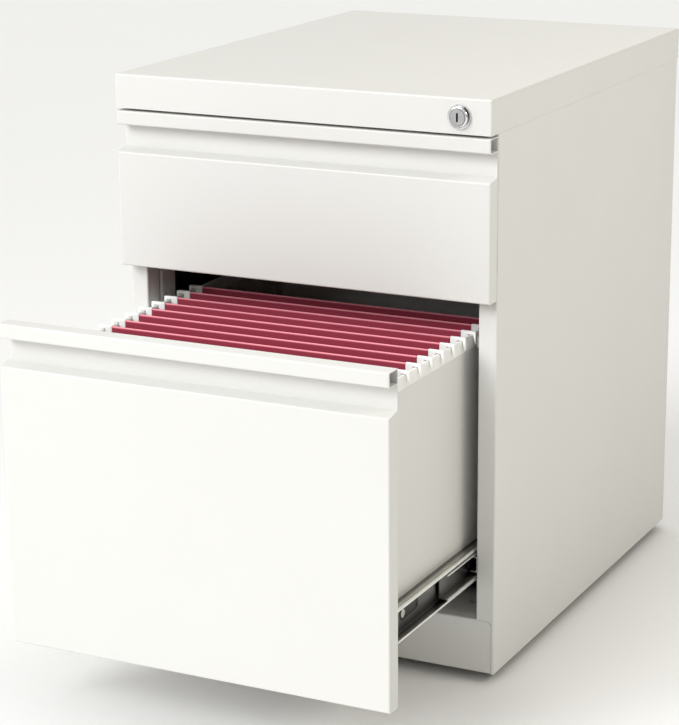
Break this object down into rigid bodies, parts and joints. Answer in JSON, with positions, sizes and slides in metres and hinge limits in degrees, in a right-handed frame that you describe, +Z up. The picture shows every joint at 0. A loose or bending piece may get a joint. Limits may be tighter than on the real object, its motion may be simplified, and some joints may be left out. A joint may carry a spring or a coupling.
{
  "type": "metal filing cabinet",
  "caption": "Off-white steel pedestal filing cabinet with a box drawer, an open file drawer of hanging folders, a lock and hidden casters.",
  "frame": {"origin": "on the floor, at the centre of the footprint with the file drawer pulled out as at rest", "axes": "+Z up, +Y from the drawer fronts to the back, +X to the right as seen from the front"},
  "size_m": [0.381, 0.713, 0.552],
  "materials": {
    "case_paint": "off-white powder coat, fine texture",
    "front_paint": "off-white powder coat, satin",
    "tray_paint": "off-white powder coat, matt",
    "slide_zinc": "bright zinc plate",
    "cage_zinc": "zinc plate and ball-bearing steel",
    "lock_chrome": "polished",
    "lock_steel": "turned face",
    "screw_zinc": "zinc plate",
    "ballast_iron": "rough, dark paint",
    "bumper_rubber": "matt",
    "caster_plastic": "moulded, fine grain",
    "wheel_plastic": "moulded, fine grain",
    "rail_plastic": "extruded, smooth",
    "folder_card": "dyed pressboard, fine fibre",
    "hook_plastic": "plastic-coated steel"
  },
  "bodies": {
    "case": {"side_panel_right": "case_paint", "side_panel_left": "case_paint", "back_panel": "case_paint", "top_panel": "case_paint", "top_rail": "case_paint", "kick_panel": "case_paint", "base_pan": "case_paint", "upright_front_right": "case_paint", "upright_front_left": "case_paint", "upright_rear_right": "case_paint", "upright_rear_left": "case_paint", "counterweight": "ballast_iron", "counterweight_bolts": "screw_zinc", "back_panel_screws": "screw_zinc", "caster_screws": "screw_zinc", "drawer_bumpers": "bumper_rubber", "box_slide_cabinet_member_right": "slide_zinc", "box_slide_cabinet_member_left": "slide_zinc", "file_slide_cabinet_member_right": "slide_zinc", "file_slide_cabinet_member_left": "slide_zinc", "lock_housing": "lock_chrome", "lock_nut": "screw_zinc", "lock_bar_guides": "hook_plastic", "caster_plates": "slide_zinc"},
    "box_drawer": {"box_drawer_front": "front_paint", "box_drawer_liner": "tray_paint", "box_drawer_tray": "tray_paint", "box_drawer_back": "tray_paint", "box_drawer_rivets": "screw_zinc", "box_slide_drawer_member_right": "slide_zinc", "box_slide_drawer_member_left": "slide_zinc"},
    "box_middle_slides": {"box_slide_middle_member_right": "slide_zinc", "box_slide_middle_member_left": "slide_zinc"},
    "box_cabinet_balls": {"box_cabinet_ball_cages": "cage_zinc"},
    "box_drawer_balls": {"box_drawer_ball_cages": "cage_zinc"},
    "file_drawer": {"file_drawer_front": "front_paint", "file_drawer_liner": "tray_paint", "file_drawer_tray": "tray_paint", "file_drawer_back": "tray_paint", "file_drawer_rivets": "screw_zinc", "file_slide_drawer_member_right": "slide_zinc", "file_slide_drawer_member_left": "slide_zinc", "hanging_rails": "rail_plastic", "hanging_folders": "folder_card", "folder_rods": "hook_plastic"},
    "file_middle_slides": {"file_slide_middle_member_right": "slide_zinc", "file_slide_middle_member_left": "slide_zinc"},
    "file_cabinet_balls": {"file_cabinet_ball_cages": "cage_zinc"},
    "file_drawer_balls": {"file_drawer_ball_cages": "cage_zinc"},
    "lock_plug": {"lock_plug": "lock_steel", "lock_cam": "lock_steel"},
    "lock_bar": {"lock_bar": "slide_zinc"},
    "caster_fork_front_left": {"caster_fork_front_left": "caster_plastic"},
    "caster_wheels_front_left": {"caster_wheels_front_left": "wheel_plastic"},
    "caster_fork_front_right": {"caster_fork_front_right": "caster_plastic"},
    "caster_wheels_front_right": {"caster_wheels_front_right": "wheel_plastic"},
    "caster_fork_rear_left": {"caster_fork_rear_left": "caster_plastic"},
    "caster_wheels_rear_left": {"caster_wheels_rear_left": "wheel_plastic"},
    "caster_fork_rear_right": {"caster_fork_rear_right": "caster_plastic"},
    "caster_wheels_rear_right": {"caster_wheels_rear_right": "wheel_plastic"}
  },
  "joints": [
    {"name": "box_drawer_slide", "type": "slide", "parent": "case", "child": "box_drawer", "axis": [0, -1, 0], "range_m": [0, 0.44]},
    {"name": "box_middle_slides_slide", "type": "slide", "parent": "case", "child": "box_middle_slides", "axis": [0, -1, 0], "range_m": [0, 0.22]},
    {"name": "box_cabinet_balls_slide", "type": "slide", "parent": "case", "child": "box_cabinet_balls", "axis": [0, -1, 0], "range_m": [0, 0.11]},
    {"name": "box_drawer_balls_slide", "type": "slide", "parent": "case", "child": "box_drawer_balls", "axis": [0, -1, 0], "range_m": [0, 0.33]},
    {"name": "file_drawer_slide", "type": "slide", "parent": "case", "child": "file_drawer", "axis": [0, -1, 0], "range_m": [-0.208, 0.232]},
    {"name": "file_middle_slides_slide", "type": "slide", "parent": "case", "child": "file_middle_slides", "axis": [0, -1, 0], "range_m": [-0.104, 0.116]},
    {"name": "file_cabinet_balls_slide", "type": "slide", "parent": "case", "child": "file_cabinet_balls", "axis": [0, -1, 0], "range_m": [-0.052, 0.058]},
    {"name": "file_drawer_balls_slide", "type": "slide", "parent": "case", "child": "file_drawer_balls", "axis": [0, -1, 0], "range_m": [-0.156, 0.174]},
    {"name": "lock_plug_turn", "type": "hinge", "parent": "case", "child": "lock_plug", "pos_m": [0.16, -0.1535, 0.5355], "axis": [0, -1, 0], "range_deg": [0, 90]},
    {"name": "lock_bar_lift", "type": "slide", "parent": "case", "child": "lock_bar", "axis": [0, 0, 1], "range_m": [0, 0.01131]},
    {"name": "caster_swivel_front_left", "type": "hinge", "parent": "case", "child": "caster_fork_front_left", "pos_m": [-0.13509, -0.07559, 0.0559], "axis": [0, 0, 1], "continuous": true},
    {"name": "caster_roll_front_left", "type": "hinge", "parent": "caster_fork_front_left", "child": "caster_wheels_front_left", "pos_m": [-0.13509, -0.05959, 0.019], "axis": [1, 0, 0], "continuous": true},
    {"name": "caster_swivel_front_right", "type": "hinge", "parent": "case", "child": "caster_fork_front_right", "pos_m": [0.13509, -0.07559, 0.0559], "axis": [0, 0, 1], "continuous": true},
    {"name": "caster_roll_front_right", "type": "hinge", "parent": "caster_fork_front_right", "child": "caster_wheels_front_right", "pos_m": [0.13509, -0.05959, 0.019], "axis": [1, 0, 0], "continuous": true},
    {"name": "caster_swivel_rear_left", "type": "hinge", "parent": "case", "child": "caster_fork_rear_left", "pos_m": [-0.13509, 0.29959, 0.0559], "axis": [0, 0, 1], "continuous": true},
    {"name": "caster_roll_rear_left", "type": "hinge", "parent": "caster_fork_rear_left", "child": "caster_wheels_rear_left", "pos_m": [-0.13509, 0.31559, 0.019], "axis": [1, 0, 0], "continuous": true},
    {"name": "caster_swivel_rear_right", "type": "hinge", "parent": "case", "child": "caster_fork_rear_right", "pos_m": [0.13509, 0.29959, 0.0559], "axis": [0, 0, 1], "continuous": true},
    {"name": "caster_roll_rear_right", "type": "hinge", "parent": "caster_fork_rear_right", "child": "caster_wheels_rear_right", "pos_m": [0.13509, 0.31559, 0.019], "axis": [1, 0, 0], "continuous": true}
  ],
  "couplings": [
    {"joint": "box_middle_slides_slide", "follows": "box_drawer_slide", "ratio": 0.5},
    {"joint": "box_cabinet_balls_slide", "follows": "box_drawer_slide", "ratio": 0.25},
    {"joint": "box_drawer_balls_slide", "follows": "box_drawer_slide", "ratio": 0.75},
    {"joint": "file_middle_slides_slide", "follows": "file_drawer_slide", "ratio": 0.5},
    {"joint": "file_cabinet_balls_slide", "follows": "file_drawer_slide", "ratio": 0.25},
    {"joint": "file_drawer_balls_slide", "follows": "file_drawer_slide", "ratio": 0.75},
    {"joint": "lock_plug_turn", "follows": "lock_bar_lift", "rad_per_m": 138.84}
  ]
}
